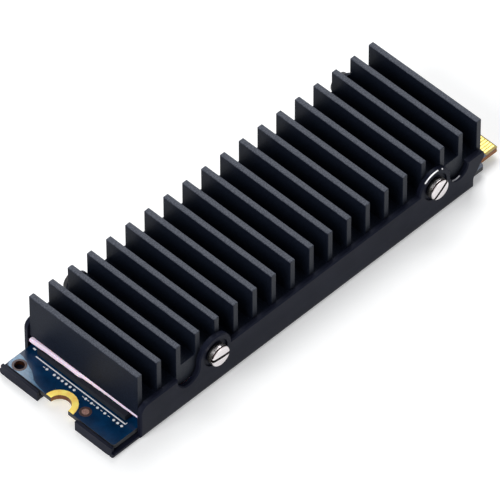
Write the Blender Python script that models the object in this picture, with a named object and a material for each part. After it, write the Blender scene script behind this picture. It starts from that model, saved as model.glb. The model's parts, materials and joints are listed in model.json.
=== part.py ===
"""Solid-state drive module: a card-edge circuit board clamped between a folded tray and a finned heat sink.

Lengths are in metres. X runs along the board from its notched end to its card edge, Y runs across it,
and Z points up from the tray's underside. Every piece hangs on one empty, which puts the middle of the
module's length at X = 0.
"""

import math

import bmesh
import bpy

# Circuit board, in the standard 22 by 80 size with an M key
BOARD_LENGTH = 0.0800
BOARD_WIDTH = 0.0220
BOARD_THICKNESS = 0.0008
BOARD_CORNER_RADIUS = 0.0005
END_NOTCH_RADIUS = 0.00175
END_RING_WIDTH = 0.0010
END_RING_SETBACK = 0.00005
TOOLING_HOLE_RADIUS = 0.0008
TOOLING_HOLE_END_DISTANCE = 0.0012
TOOLING_HOLE_SIDE_DISTANCE = 0.0016
TONGUE_LENGTH = 0.0040
TONGUE_SHOULDER = 0.001075
TONGUE_CHAMFER = 0.0003
KEY_SLOT_WIDTH = 0.0012
KEY_SLOT_DEPTH = 0.0035
KEY_SLOT_EDGE_DISTANCE = 0.0038

# Contact fingers on the card edge
FINGER_PITCH = 0.0005
FINGER_WIDTH = 0.00035
FINGER_LENGTH = 0.0020
FINGER_TIP_DISTANCE = 0.00025
FINGER_EDGE_DISTANCE = 0.00067
KEY_CLEARANCE = 0.0002
COPPER_HEIGHT = 0.00005
COPPER_DEPTH = 0.0002

# Row of chips and small parts along the board, and the two columns of small parts across it
ROW_FRONT_MARGIN = 0.0043
ROW_END_MARGIN = 0.0030
POWER_COLUMN_MARGIN = 0.0019
CAPACITOR_COLUMN_MARGIN = 0.0040
FLASH_COUNT = 2
FLASH_LENGTH = 0.0115
FLASH_SIDE_MARGIN = 0.0020
MEMORY_LENGTH = 0.0090
MEMORY_WIDTH = 0.0135
CONTROLLER_LENGTH = 0.0140
CONTROLLER_WIDTH = 0.0140
CHIP_HEIGHT = 0.0009
CHIP_EDGE = 0.00006
BALL_HEIGHT = 0.00025
SOLDER_HEIGHT = 0.0002
POWER_CHIP_LENGTH = 0.0050
POWER_CHIP_WIDTH = 0.0050
POWER_CHIP_HEIGHT = 0.0008
CRYSTAL_LENGTH = 0.0025
CRYSTAL_WIDTH = 0.0020
CRYSTAL_HEIGHT = 0.0006
INDUCTOR_COUNT = 3
INDUCTOR_LENGTH = 0.0025
INDUCTOR_WIDTH = 0.0020
INDUCTOR_HEIGHT = 0.0010
CAPACITOR_COUNT = 6
CAPACITOR_LENGTH = 0.0016
CAPACITOR_WIDTH = 0.0008
CAPACITOR_HEIGHT = 0.0008
TERMINAL_LENGTH = 0.0004
TERMINAL_STEP = 0.00004

# Thermal pad, laid on the chips with its front edge slightly askew
PAD_THICKNESS = 0.0007
PAD_GAP = 0.0002
PAD_FRONT_NEAR = 0.0052
PAD_FRONT_FAR = 0.0044
PAD_SIDE_MARGIN = 0.0003
PAD_END_MARGIN = 0.0080

# Heat sink
HEATSINK_MARGIN = 0.0049
HEATSINK_SIDE_GAP = 0.0002
BASE_THICKNESS = 0.0021
FIN_HEIGHT = 0.00625
FIN_THICKNESS = 0.00098
FIN_PITCH = 0.00384
FIN_EDGE = 0.00008
BOSS_COVER = 0.0003

# Screws that join the tray's ears to the heat sink's bosses, further apart on the far side
NEAR_SCREW_FRONT_DISTANCE = 0.0150
NEAR_SCREW_REAR_DISTANCE = 0.0104
FAR_SCREW_FRONT_DISTANCE = 0.0103
FAR_SCREW_REAR_DISTANCE = 0.0054
SCREW_ABOVE_HEATSINK_BOTTOM = 0.0027
SHANK_RADIUS = 0.0010
SHANK_LENGTH = 0.0052
SHANK_CHAMFER = 0.0003
SHANK_CLEARANCE = 0.0002
HEAD_RADIUS = 0.00175
HEAD_HEIGHT = 0.0009
HEAD_ROUNDING = 0.0003
HEAD_CLEARANCE = 0.0006
HEAD_RECESS = 0.0003
SEAT_GAP = 0.0002
SLOT_WIDTH = 0.00085
SLOT_DEPTH = 0.00045
SLOT_TURNS = (-17.0, 44.5, 24.0, -38.0)

# Folded tray
SHEET_THICKNESS = 0.0008
INSIDE_BEND_RADIUS = 0.0002
BOARD_SIDE_GAP = 0.0002
BOARD_FLOOR_GAP = 0.00025
BOARD_END_GAP = 0.0002
LIP_THICKNESS = 0.0005
NOSE_STEP = 0.0007
SCREW_CUTOUT_RADIUS = 0.0039
WALL_FRONT_MARGIN = 0.0046
WALL_END_MARGIN = 0.0050
EAR_RIM = 0.00085
FAR_EAR_RIM = 0.00035
FRONT_NOTCH_WIDTH = 0.0043
REAR_NOTCH_WIDTH = 0.0036
EAR_NOTCH_DROP = 0.00045
POST_CORNER_RADIUS = 0.0015
END_CORNER_RADIUS = 0.0010
END_SLANT = 36.0
END_FILLET_RADIUS = 0.0012
END_CUTBACK = 0.0022
TRAY_EDGE = 0.0002

# Fineness of round shapes, and how far a cut or a joined block runs past the surface it meets
QUARTER_STEPS = 6
ROUNDING_STEPS = 3
HOLE_STEPS = 32
SCREW_STEPS = 28
OVERRUN = 0.0010
EDGE_OVERRUN = 0.0001

# Colour, roughness and metallic value of each material
LOOKS = {
    "tray_black": ((0.028, 0.029, 0.034), 0.42, 0.6),
    "heatsink_black": ((0.020, 0.022, 0.026), 0.45, 0.6),
    "board_blue": ((0.008, 0.060, 0.160), 0.25, 0.0),
    "chip_black": ((0.018, 0.018, 0.020), 0.55, 0.0),
    "inductor_grey": ((0.090, 0.090, 0.095), 0.50, 0.2),
    "crystal_silver": ((0.600, 0.600, 0.590), 0.30, 0.9),
    "capacitor_tan": ((0.420, 0.300, 0.190), 0.50, 0.0),
    "pad_pink": ((0.800, 0.560, 0.720), 0.80, 0.0),
    "screw_nickel": ((0.720, 0.690, 0.660), 0.25, 1.0),
}

# Levels, from the tray's underside up
BOARD_BOTTOM = SHEET_THICKNESS + BOARD_FLOOR_GAP
BOARD_TOP = BOARD_BOTTOM + BOARD_THICKNESS
CHIP_TOP = BOARD_TOP + BALL_HEIGHT + CHIP_HEIGHT
PAD_BOTTOM = CHIP_TOP + PAD_GAP
HEATSINK_BOTTOM = PAD_BOTTOM + PAD_THICKNESS + PAD_GAP
BASE_TOP = HEATSINK_BOTTOM + BASE_THICKNESS
FIN_TOP = BASE_TOP + FIN_HEIGHT
SCREW_Z = HEATSINK_BOTTOM + SCREW_ABOVE_HEATSINK_BOTTOM
HOLE_RADIUS = SHANK_RADIUS + SHANK_CLEARANCE
BOSS_TOP = SCREW_Z + HOLE_RADIUS + BOSS_COVER
WALL_TOP = SCREW_Z

# Places across and along the module
BEND_RADIUS = INSIDE_BEND_RADIUS + SHEET_THICKNESS
RECESS_RADIUS = HEAD_RADIUS + HEAD_CLEARANCE
EAR_RADIUS = RECESS_RADIUS + EAR_RIM
FAR_EAR_RADIUS = HEAD_RADIUS + FAR_EAR_RIM
TONGUE_HALF = BOARD_WIDTH / 2 - TONGUE_SHOULDER
TONGUE_START = BOARD_LENGTH - TONGUE_LENGTH
KEY_SLOT_Y = TONGUE_HALF - KEY_SLOT_EDGE_DISTANCE
TRAY_INNER_HALF = BOARD_WIDTH / 2 + BOARD_SIDE_GAP
TRAY_OUTER_HALF = TRAY_INNER_HALF + SHEET_THICKNESS
HEAD_SEAT = TRAY_OUTER_HALF - HEAD_RECESS + SEAT_GAP
HEATSINK_HALF = TRAY_INNER_HALF - HEATSINK_SIDE_GAP
HEATSINK_START = HEATSINK_MARGIN
HEATSINK_END = BOARD_LENGTH - HEATSINK_MARGIN
WALL_START = WALL_FRONT_MARGIN
WALL_END = BOARD_LENGTH - WALL_END_MARGIN
LIP_FRONT = -(BOARD_END_GAP + LIP_THICKNESS)
SCREW_XS = {
    "near": (WALL_START + NEAR_SCREW_FRONT_DISTANCE, WALL_END - NEAR_SCREW_REAR_DISTANCE),
    "far": (WALL_START + FAR_SCREW_FRONT_DISTANCE, WALL_END - FAR_SCREW_REAR_DISTANCE),
}
MODULE_MIDDLE = (LIP_FRONT + BOARD_LENGTH) / 2


def clear_scene():
    """Removes every object that the scene starts with."""
    for item in list(bpy.data.objects):
        bpy.data.objects.remove(item)


def make_material(name):
    """A plain Principled material with the look listed under its name."""
    color, roughness, metallic = LOOKS[name]
    material = bpy.data.materials.new(name)
    material.use_nodes = True
    shader = material.node_tree.nodes["Principled BSDF"]
    shader.inputs["Base Color"].default_value = (*color, 1.0)
    shader.inputs["Roughness"].default_value = roughness
    shader.inputs["Metallic"].default_value = metallic
    material.diffuse_color = (*color, 1.0)
    return material


def arc(center, radius, start, end, steps=QUARTER_STEPS):
    """Points on an arc, from the start angle to the end angle in degrees, both ends included."""
    points = []
    for step in range(steps + 1):
        angle = math.radians(start + (end - start) * step / steps)
        points.append((center[0] + radius * math.cos(angle), center[1] + radius * math.sin(angle)))
    return points


def rectangle(low_a, high_a, low_b, high_b):
    """The four corners of a rectangle."""
    return [(low_a, low_b), (high_a, low_b), (high_a, high_b), (low_a, high_b)]


def without_repeats(outline):
    """The outline without points that lie on the one before them."""
    kept = []
    for point in outline:
        if not kept or math.dist(point, kept[-1]) > 1e-7:
            kept.append(point)
    if math.dist(kept[0], kept[-1]) <= 1e-7:
        kept.pop()
    return kept


def finished_mesh(name, shape):
    """The mesh made from a closed shape, with its faces pointing out."""
    bmesh.ops.recalc_face_normals(shape, faces=shape.faces)
    mesh = bpy.data.meshes.new(name)
    shape.to_mesh(mesh)
    shape.free()
    return mesh


def close_rings(shape, rings):
    """Joins rings of corners, one after the other, and closes the first and the last with a flat face."""
    for lower, upper in zip(rings, rings[1:]):
        for index in range(len(lower)):
            after = (index + 1) % len(lower)
            shape.faces.new((lower[index], lower[after], upper[after], upper[index]))
    shape.faces.new(rings[0])
    shape.faces.new(rings[-1])


def prism_mesh(name, outline, axis, low, high):
    """A closed prism: the outline lies across the axis, and is extruded from low to high along it."""
    places = {
        "X": lambda a, b, along: (along, a, b),
        "Y": lambda a, b, along: (a, along, b),
        "Z": lambda a, b, along: (a, b, along),
    }
    shape = bmesh.new()
    corners = [shape.verts.new(places[axis](a, b, low)) for a, b in without_repeats(outline)]
    face = shape.faces.new(corners)
    moved = bmesh.ops.extrude_face_region(shape, geom=[face])
    top = [item for item in moved["geom"] if isinstance(item, bmesh.types.BMVert)]
    bmesh.ops.translate(shape, verts=top, vec=places[axis](0.0, 0.0, high - low))
    return finished_mesh(name, shape)


def turned_mesh(name, profile, steps):
    """A solid turned about Z from its profile of (radius, height) points, closed by flat ends."""
    shape = bmesh.new()
    rings = []
    for radius, height in profile:
        ring = []
        for step in range(steps):
            angle = 2 * math.pi * step / steps
            ring.append(shape.verts.new((radius * math.cos(angle), radius * math.sin(angle), height)))
        rings.append(ring)
    close_rings(shape, rings)
    return finished_mesh(name, shape)


def add_object(name, mesh, material=None, parent=None, location=(0.0, 0.0, 0.0)):
    """Puts a mesh in the scene as an object of its own."""
    item = bpy.data.objects.new(name, mesh)
    bpy.context.scene.collection.objects.link(item)
    item.location = location
    item.parent = parent
    if material and not mesh.materials:
        mesh.materials.append(material)
    return item


def add_cutter(name, mesh, parent):
    """A guide shape that only other pieces' Boolean modifiers use."""
    item = add_object(name, mesh, parent=parent)
    item.hide_render = True
    item.display_type = "WIRE"
    return item


def combine(item, other, operation):
    """Adds a Boolean modifier, which leaves the piece as one body."""
    modifier = item.modifiers.new(other.name, "BOOLEAN")
    modifier.operation = operation
    modifier.object = other
    modifier.solver = "EXACT"


def soften_edges(item, width, angle=40.0):
    """Breaks the piece's sharp edges with a small chamfer."""
    modifier = item.modifiers.new("soft_edges", "BEVEL")
    modifier.width = width
    modifier.segments = 1
    modifier.limit_method = "ANGLE"
    modifier.angle_limit = math.radians(angle)


def shade_round(item):
    """Smooth shading on the round faces, with its sharp edges kept."""
    item.data.shade_smooth()
    item.data.set_sharp_from_angle(angle=math.radians(35.0))


# Circuit board


def board_outline():
    """The board's outline seen from above, with its end notch, shoulders, tongue and key slot."""
    half = BOARD_WIDTH / 2
    radius = BOARD_CORNER_RADIUS
    end = BOARD_LENGTH
    slot = KEY_SLOT_WIDTH / 2
    slot_center = (end - KEY_SLOT_DEPTH + slot, KEY_SLOT_Y)
    points = arc((radius, -half + radius), radius, 180, 270)
    points += arc((TONGUE_START - radius, -half + radius), radius, 270, 360)
    points += [(TONGUE_START, -TONGUE_HALF), (end - TONGUE_CHAMFER, -TONGUE_HALF)]
    points += [(end, -TONGUE_HALF + TONGUE_CHAMFER), (end, KEY_SLOT_Y - slot)]
    points += arc(slot_center, slot, 270, 90, 2 * QUARTER_STEPS)
    points += [(end, KEY_SLOT_Y + slot), (end, TONGUE_HALF - TONGUE_CHAMFER)]
    points += [(end - TONGUE_CHAMFER, TONGUE_HALF), (TONGUE_START, TONGUE_HALF)]
    points += arc((TONGUE_START - radius, half - radius), radius, 0, 90)
    points += arc((radius, half - radius), radius, 90, 180)
    points += arc((0.0, 0.0), END_NOTCH_RADIUS, 90, -90, 2 * QUARTER_STEPS)
    return points


def finger_ys(count):
    """Where the contact fingers of one face lie across the tongue, leaving out the key slot."""
    reach = KEY_SLOT_WIDTH / 2 + FINGER_WIDTH / 2 + KEY_CLEARANCE
    ys = [(index - (count - 1) / 2) * FINGER_PITCH for index in range(count)]
    return [y for y in ys if abs(y - KEY_SLOT_Y) > reach]


def copper_mesh():
    """The contact fingers and the half rings round the end notch, as one guide shape that stands proud."""
    run = 2 * (TONGUE_HALF - FINGER_EDGE_DISTANCE)
    top_count = int(run / FINGER_PITCH + 0.01) + 1
    faces = (
        (top_count, BOARD_TOP - COPPER_DEPTH, BOARD_TOP + COPPER_HEIGHT),
        (top_count - 1, BOARD_BOTTOM - COPPER_HEIGHT, BOARD_BOTTOM + COPPER_DEPTH),
    )
    tip = BOARD_LENGTH - FINGER_TIP_DISTANCE
    center = (END_RING_SETBACK, 0.0)
    ring = arc(center, END_NOTCH_RADIUS + END_RING_WIDTH, 90, -90, 2 * QUARTER_STEPS)
    ring += arc(center, END_NOTCH_RADIUS, -90, 90, 2 * QUARTER_STEPS)
    shape = bmesh.new()
    for count, low, high in faces:
        for y in finger_ys(count):
            finger = rectangle(tip - FINGER_LENGTH, tip, y - FINGER_WIDTH / 2, y + FINGER_WIDTH / 2)
            shape.from_mesh(prism_mesh("finger", finger, "Z", low, high))
        shape.from_mesh(prism_mesh("ring", ring, "Z", low, high))
    return finished_mesh("copper", shape)


def make_board(parent, material):
    """The board with its tooling hole, contact fingers and plated end rings."""
    mesh = prism_mesh("circuit_board", board_outline(), "Z", BOARD_BOTTOM, BOARD_TOP)
    board = add_object("circuit_board", mesh, material, parent)
    center = (TOOLING_HOLE_END_DISTANCE, BOARD_WIDTH / 2 - TOOLING_HOLE_SIDE_DISTANCE)
    circle = arc(center, TOOLING_HOLE_RADIUS, 0, 360, HOLE_STEPS)
    hole = prism_mesh("tooling_hole", circle, "Z", BOARD_BOTTOM - OVERRUN, BOARD_TOP + OVERRUN)
    combine(board, add_cutter("tooling_hole", hole, parent), "DIFFERENCE")
    combine(board, add_cutter("copper", copper_mesh(), parent), "UNION")


# Parts soldered on the board


def chip_mesh(name, length, width, height):
    """A moulded chip package with finely broken upper edges, standing on its own origin."""
    outline = rectangle(-length / 2, length / 2, -width / 2, width / 2)
    shape = bmesh.new()
    shape.from_mesh(prism_mesh(name, outline, "Z", 0.0, height))
    upper = [edge for edge in shape.edges if max(vertex.co.z for vertex in edge.verts) > height / 2]
    bmesh.ops.bevel(shape, geom=upper, offset=CHIP_EDGE, segments=1, affect="EDGES", profile=0.5)
    return finished_mesh(name, shape)


def terminal_mesh(name, length, width, height):
    """A small soldered part whose end terminals stand slightly proud of its body."""
    end = length / 2
    inner = end - TERMINAL_LENGTH
    low = TERMINAL_STEP
    high = height - TERMINAL_STEP
    outline = [(-end, 0.0), (-inner, 0.0), (-inner, low), (inner, low), (inner, 0.0), (end, 0.0)]
    outline += [(end, height), (inner, height), (inner, high)]
    outline += [(-inner, high), (-inner, height), (-end, height)]
    return prism_mesh(name, outline, "Y", -width / 2, width / 2)


def spread(lengths, start, end):
    """The middle of each piece in a line of pieces, spread evenly from start to end."""
    spacing = (end - start - sum(lengths)) / (len(lengths) - 1)
    middles = []
    for length in lengths:
        middles.append(start + length / 2)
        start += length + spacing
    return middles


def row_middles():
    """The middle of each column along the board: flash chips, memory, controller, power and capacitors."""
    small_column = max(POWER_CHIP_LENGTH, INDUCTOR_LENGTH, CRYSTAL_LENGTH)
    lengths = [FLASH_LENGTH] * FLASH_COUNT
    lengths += [MEMORY_LENGTH, CONTROLLER_LENGTH, small_column, CAPACITOR_LENGTH]
    return spread(lengths, ROW_FRONT_MARGIN, TONGUE_START - ROW_END_MARGIN)


def column_middles(widths, margin):
    """The middle of each part in a column across the board."""
    return spread(widths, -BOARD_WIDTH / 2 + margin, BOARD_WIDTH / 2 - margin)


def make_chips(parent, material):
    """The flash chips, the working memory and the controller."""
    level = BOARD_TOP + BALL_HEIGHT
    middles = row_middles()
    flash = chip_mesh("flash_chip", FLASH_LENGTH, BOARD_WIDTH - 2 * FLASH_SIDE_MARGIN, CHIP_HEIGHT)
    for number in range(FLASH_COUNT):
        add_object(f"flash_chip_{number + 1}", flash, material, parent, (middles[number], 0.0, level))
    memory_x, controller_x = middles[FLASH_COUNT:-2]
    memory = chip_mesh("memory_chip", MEMORY_LENGTH, MEMORY_WIDTH, CHIP_HEIGHT)
    add_object("memory_chip", memory, material, parent, (memory_x, 0.0, level))
    controller = chip_mesh("controller_chip", CONTROLLER_LENGTH, CONTROLLER_WIDTH, CHIP_HEIGHT)
    add_object("controller_chip", controller, material, parent, (controller_x, 0.0, level))


def make_power_column(parent, materials):
    """The power chip, its inductors and the clock crystal, in a column across the board."""
    level = BOARD_TOP + SOLDER_HEIGHT
    column_x = row_middles()[-2]
    widths = [POWER_CHIP_WIDTH] + [INDUCTOR_WIDTH] * INDUCTOR_COUNT + [CRYSTAL_WIDTH]
    power_y, *inductor_ys, crystal_y = column_middles(widths, POWER_COLUMN_MARGIN)
    power = chip_mesh("power_chip", POWER_CHIP_LENGTH, POWER_CHIP_WIDTH, POWER_CHIP_HEIGHT)
    add_object("power_chip", power, materials["chip_black"], parent, (column_x, power_y, level))
    inductor = terminal_mesh("inductor", INDUCTOR_LENGTH, INDUCTOR_WIDTH, INDUCTOR_HEIGHT)
    for number, y in enumerate(inductor_ys, 1):
        add_object(f"inductor_{number}", inductor, materials["inductor_grey"], parent, (column_x, y, level))
    crystal = chip_mesh("crystal", CRYSTAL_LENGTH, CRYSTAL_WIDTH, CRYSTAL_HEIGHT)
    add_object("crystal", crystal, materials["crystal_silver"], parent, (column_x, crystal_y, level))


def make_capacitors(parent, material):
    """A column of capacitors before the tongue."""
    level = BOARD_TOP + SOLDER_HEIGHT
    column_x = row_middles()[-1]
    capacitor = terminal_mesh("capacitor", CAPACITOR_LENGTH, CAPACITOR_WIDTH, CAPACITOR_HEIGHT)
    ys = column_middles([CAPACITOR_WIDTH] * CAPACITOR_COUNT, CAPACITOR_COLUMN_MARGIN)
    for number, y in enumerate(ys, 1):
        add_object(f"capacitor_{number}", capacitor, material, parent, (column_x, y, level))


def make_pad(parent, material):
    """The soft pad between the chips and the heat sink."""
    side = HEATSINK_HALF - PAD_SIDE_MARGIN
    end = BOARD_LENGTH - PAD_END_MARGIN
    outline = [(PAD_FRONT_NEAR, -side), (end, -side), (end, side), (PAD_FRONT_FAR, side)]
    mesh = prism_mesh("thermal_pad", outline, "Z", PAD_BOTTOM, PAD_BOTTOM + PAD_THICKNESS)
    add_object("thermal_pad", mesh, material, parent)


# Heat sink


def skyline(bottom, blocks):
    """The outline of overlapping blocks (start, end, top) that all stand on one level."""
    places = sorted({x for start, end, _ in blocks for x in (start, end)})
    points = [(places[0], bottom)]
    for start, end in zip(places, places[1:]):
        middle = (start + end) / 2
        top = max(high for low_x, high_x, high in blocks if low_x < middle < high_x)
        points += [(start, top), (end, top)]
    points.append((places[-1], bottom))
    return points


def fin_middles():
    """The middle of each fin, with the fins spread evenly from one end of the heat sink to the other."""
    first = HEATSINK_START + FIN_THICKNESS / 2
    last = HEATSINK_END - FIN_THICKNESS / 2
    channels = round((last - first) / FIN_PITCH)
    return [first + (last - first) * index / channels for index in range(channels + 1)]


def boss_span(screws):
    """Where a boss starts and ends: in the fins just past its near screw's hole and its far one's."""
    reach = HOLE_RADIUS + BOSS_COVER - FIN_THICKNESS / 2
    start = max(x for x in fin_middles() if min(screws) - x >= reach)
    end = min(x for x in fin_middles() if x - max(screws) >= reach)
    return start, end


def heatsink_outline():
    """The heat sink seen from its side: a base with a thicker boss at each end's screws, and the fins."""
    blocks = [(HEATSINK_START, HEATSINK_END, BASE_TOP)]
    for screws in zip(SCREW_XS["near"], SCREW_XS["far"]):
        start, end = boss_span(screws)
        blocks.append((start, end, BOSS_TOP))
    for middle in fin_middles():
        blocks.append((middle - FIN_THICKNESS / 2, middle + FIN_THICKNESS / 2, FIN_TOP))
    return skyline(HEATSINK_BOTTOM, blocks)


def make_heatsink(parent, material):
    """The extruded heat sink, with a blind screw hole in each side of both bosses."""
    mesh = prism_mesh("heatsink", heatsink_outline(), "Y", -HEATSINK_HALF, HEATSINK_HALF)
    heatsink = add_object("heatsink", mesh, material, parent)
    soften_edges(heatsink, FIN_EDGE)
    mouth = HEATSINK_HALF + OVERRUN
    depth = HEAD_SEAT - SHANK_LENGTH - SHANK_CLEARANCE
    for side, low, high in (("near", -mouth, -depth), ("far", depth, mouth)):
        for number, screw_x in enumerate(SCREW_XS[side], 1):
            circle = arc((screw_x, SCREW_Z), HOLE_RADIUS, 0, 360, HOLE_STEPS)
            name = f"boss_hole_{side}_{number}"
            cutter = add_cutter(name, prism_mesh(name, circle, "Y", low, high), parent)
            combine(heatsink, cutter, "DIFFERENCE")


# Tray


def tray_section():
    """The folded channel seen from its end, as tall as its ears."""
    outer = TRAY_OUTER_HALF
    inner = TRAY_INNER_HALF
    top = WALL_TOP + EAR_RADIUS + OVERRUN
    inside = INSIDE_BEND_RADIUS
    points = [(-outer, top)]
    points += arc((-outer + BEND_RADIUS, BEND_RADIUS), BEND_RADIUS, 180, 270)
    points += arc((outer - BEND_RADIUS, BEND_RADIUS), BEND_RADIUS, 270, 360)
    points += [(outer, top), (inner, top)]
    points += arc((inner - inside, BEND_RADIUS), inside, 360, 270)
    points += arc((-inner + inside, BEND_RADIUS), inside, 270, 180)
    points.append((-inner, top))
    return points


def end_fillet_center(corner_center):
    """The centre of the hollow curve at the foot of the walls' slanted rear end."""
    center_x = WALL_END - END_CUTBACK + END_FILLET_RADIUS
    slant = math.radians(END_SLANT)
    apart = (center_x - corner_center[0]) * math.cos(slant)
    drop = (END_CORNER_RADIUS + END_FILLET_RADIUS - apart) / math.sin(slant)
    return (center_x, corner_center[1] - drop)


def near_crest(inset):
    """The near wall's top edge: a notch, two large round ears, and a notch behind them."""
    top = WALL_TOP - inset
    ear = EAR_RADIUS - inset
    notch_z = WALL_TOP - EAR_NOTCH_DROP
    front_notch = FRONT_NOTCH_WIDTH / 2 + inset
    rear_notch = REAR_NOTCH_WIDTH / 2 + inset
    front_dip = math.degrees(math.asin((top - notch_z) / front_notch))
    rear_dip = math.degrees(math.asin((top - notch_z) / rear_notch))
    front_x, rear_x = SCREW_XS["near"]
    front_center = (front_x - EAR_RADIUS - FRONT_NOTCH_WIDTH / 2, notch_z)
    rear_center = (rear_x + EAR_RADIUS + REAR_NOTCH_WIDTH / 2, notch_z)
    ear_dip = math.degrees(math.asin(inset / ear))
    points = arc(front_center, front_notch, 180 - front_dip, 360, 2 * QUARTER_STEPS)
    points += arc((front_x, WALL_TOP), ear, 180, -ear_dip, 3 * QUARTER_STEPS)
    points += arc((rear_x, WALL_TOP), ear, 180 + ear_dip, 0, 3 * QUARTER_STEPS)
    points += arc(rear_center, rear_notch, 180, 360 + rear_dip, 2 * QUARTER_STEPS)
    return points


def far_crest(inset):
    """The far wall's top edge: straight, with a small round ear at each screw."""
    ear = FAR_EAR_RADIUS - inset
    ear_dip = math.degrees(math.asin(inset / ear))
    points = []
    for screw_x in SCREW_XS["far"]:
        points += arc((screw_x, WALL_TOP), ear, 180 + ear_dip, -ear_dip, 3 * QUARTER_STEPS)
    return points


def wall_outline(side, inset):
    """One of the tray's walls seen from the side: a rounded post, its crest and the cut-back end.

    With an inset, every edge but the bottom one lies that far inside.
    """
    post_center = (WALL_START + POST_CORNER_RADIUS, WALL_TOP - POST_CORNER_RADIUS)
    corner_center = (WALL_END - END_CORNER_RADIUS, WALL_TOP - END_CORNER_RADIUS)
    fillet_center = end_fillet_center(corner_center)
    points = [(WALL_START + inset, -OVERRUN)]
    points += arc(post_center, POST_CORNER_RADIUS - inset, 180, 90)
    points += near_crest(inset) if side == "near" else far_crest(inset)
    points += arc(corner_center, END_CORNER_RADIUS - inset, 90, -END_SLANT)
    points += arc(fillet_center, END_FILLET_RADIUS + inset, 180 - END_SLANT, 180)
    points.append((fillet_center[0] - END_FILLET_RADIUS - inset, -OVERRUN))
    return without_repeats(points)


def wall_cutter_mesh(side):
    """One wall's outline as a block out from the tray's middle, narrower at its end to break the edges."""
    outward = -1 if side == "near" else 1
    end = TRAY_OUTER_HALF + EDGE_OVERRUN
    full = TRAY_OUTER_HALF - TRAY_EDGE
    sections = ((-OVERRUN, 0.0), (full, 0.0), (end, TRAY_EDGE + EDGE_OVERRUN))
    shape = bmesh.new()
    rings = []
    for y, inset in sections:
        rings.append([shape.verts.new((x, outward * y, z)) for x, z in wall_outline(side, inset)])
    close_rings(shape, rings)
    return finished_mesh(f"tray_side_{side}", shape)


def nose_section():
    """The tray's narrower nose seen from its end, up to the top of its lips."""
    half = TRAY_OUTER_HALF - NOSE_STEP
    points = [(-half, BOARD_TOP)]
    points += arc((-half + BEND_RADIUS, BEND_RADIUS), BEND_RADIUS, 180, 270)
    points += arc((half - BEND_RADIUS, BEND_RADIUS), BEND_RADIUS, 270, 360)
    points.append((half, BOARD_TOP))
    return points


def make_tray(parent, material):
    """The folded tray: walls with four screw ears, and a nose whose two lips stop the board's end."""
    channel = prism_mesh("tray", tray_section(), "X", WALL_START - OVERRUN, WALL_END + OVERRUN)
    tray = add_object("tray", channel, material, parent)
    sides = add_cutter("tray_side_near", wall_cutter_mesh("near"), parent)
    combine(sides, add_cutter("tray_side_far", wall_cutter_mesh("far"), parent), "UNION")
    combine(tray, sides, "INTERSECT")

    nose_end = WALL_START + BEND_RADIUS
    nose = add_cutter("tray_nose", prism_mesh("tray_nose", nose_section(), "X", LIP_FRONT, nose_end), parent)
    across = 2 * TRAY_OUTER_HALF
    above_floor = rectangle(-BOARD_END_GAP, nose_end + OVERRUN, -across, across)
    pocket = prism_mesh("board_pocket", above_floor, "Z", SHEET_THICKNESS, BOARD_TOP + OVERRUN)
    combine(nose, add_cutter("board_pocket", pocket, parent), "DIFFERENCE")
    combine(tray, nose, "UNION")

    circle = arc((0.0, 0.0), SCREW_CUTOUT_RADIUS, 0, 360, HOLE_STEPS)
    cutout = prism_mesh("screw_cutout", circle, "Z", -OVERRUN, BOARD_TOP + OVERRUN)
    combine(tray, add_cutter("screw_cutout", cutout, parent), "DIFFERENCE")
    for side in SCREW_XS:
        for number, screw_x in enumerate(SCREW_XS[side], 1):
            cut_ear(tray, parent, f"{side}_{number}", side, screw_x)


def cut_ear(tray, parent, label, side, screw_x):
    """Cuts one ear: a hole through it, and a shallow recess that the screw's head sits in."""
    past = TRAY_OUTER_HALF + OVERRUN
    cuts = (
        (f"ear_hole_{label}", HOLE_RADIUS, TRAY_INNER_HALF - OVERRUN),
        (f"ear_recess_{label}", RECESS_RADIUS, TRAY_OUTER_HALF - HEAD_RECESS),
    )
    for name, radius, start in cuts:
        circle = arc((screw_x, SCREW_Z), radius, 0, 360, HOLE_STEPS)
        low, high = (-past, -start) if side == "near" else (start, past)
        cutter = add_cutter(name, prism_mesh(name, circle, "Y", low, high), parent)
        combine(tray, cutter, "DIFFERENCE")


# Screws


def screw_profile():
    """Half of the screw's section, from the point of its shank up to the top of its head."""
    rim_center = (HEAD_RADIUS - HEAD_ROUNDING, HEAD_HEIGHT - HEAD_ROUNDING)
    return [
        (SHANK_RADIUS - SHANK_CHAMFER, -SHANK_LENGTH),
        (SHANK_RADIUS, -SHANK_LENGTH + SHANK_CHAMFER),
        (SHANK_RADIUS, 0.0),
        (HEAD_RADIUS, 0.0),
        *arc(rim_center, HEAD_ROUNDING, 0, 90, ROUNDING_STEPS),
    ]


def slotted_screw_mesh(material):
    """The screw's mesh, with its driver slot cut once for all four screws."""
    blank = add_object("screw_blank", turned_mesh("screw", screw_profile(), SCREW_STEPS), material)
    reach = HEAD_RADIUS + OVERRUN
    slot = rectangle(-reach, reach, HEAD_HEIGHT - SLOT_DEPTH, HEAD_HEIGHT + OVERRUN)
    cutter = add_cutter("slot", prism_mesh("slot", slot, "Y", -SLOT_WIDTH / 2, SLOT_WIDTH / 2), None)
    combine(blank, cutter, "DIFFERENCE")
    bpy.context.view_layer.update()
    evaluated = blank.evaluated_get(bpy.context.evaluated_depsgraph_get())
    mesh = bpy.data.meshes.new_from_object(evaluated)
    mesh.name = "slotted_screw"
    bpy.data.objects.remove(blank)
    bpy.data.objects.remove(cutter)
    return mesh


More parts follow.
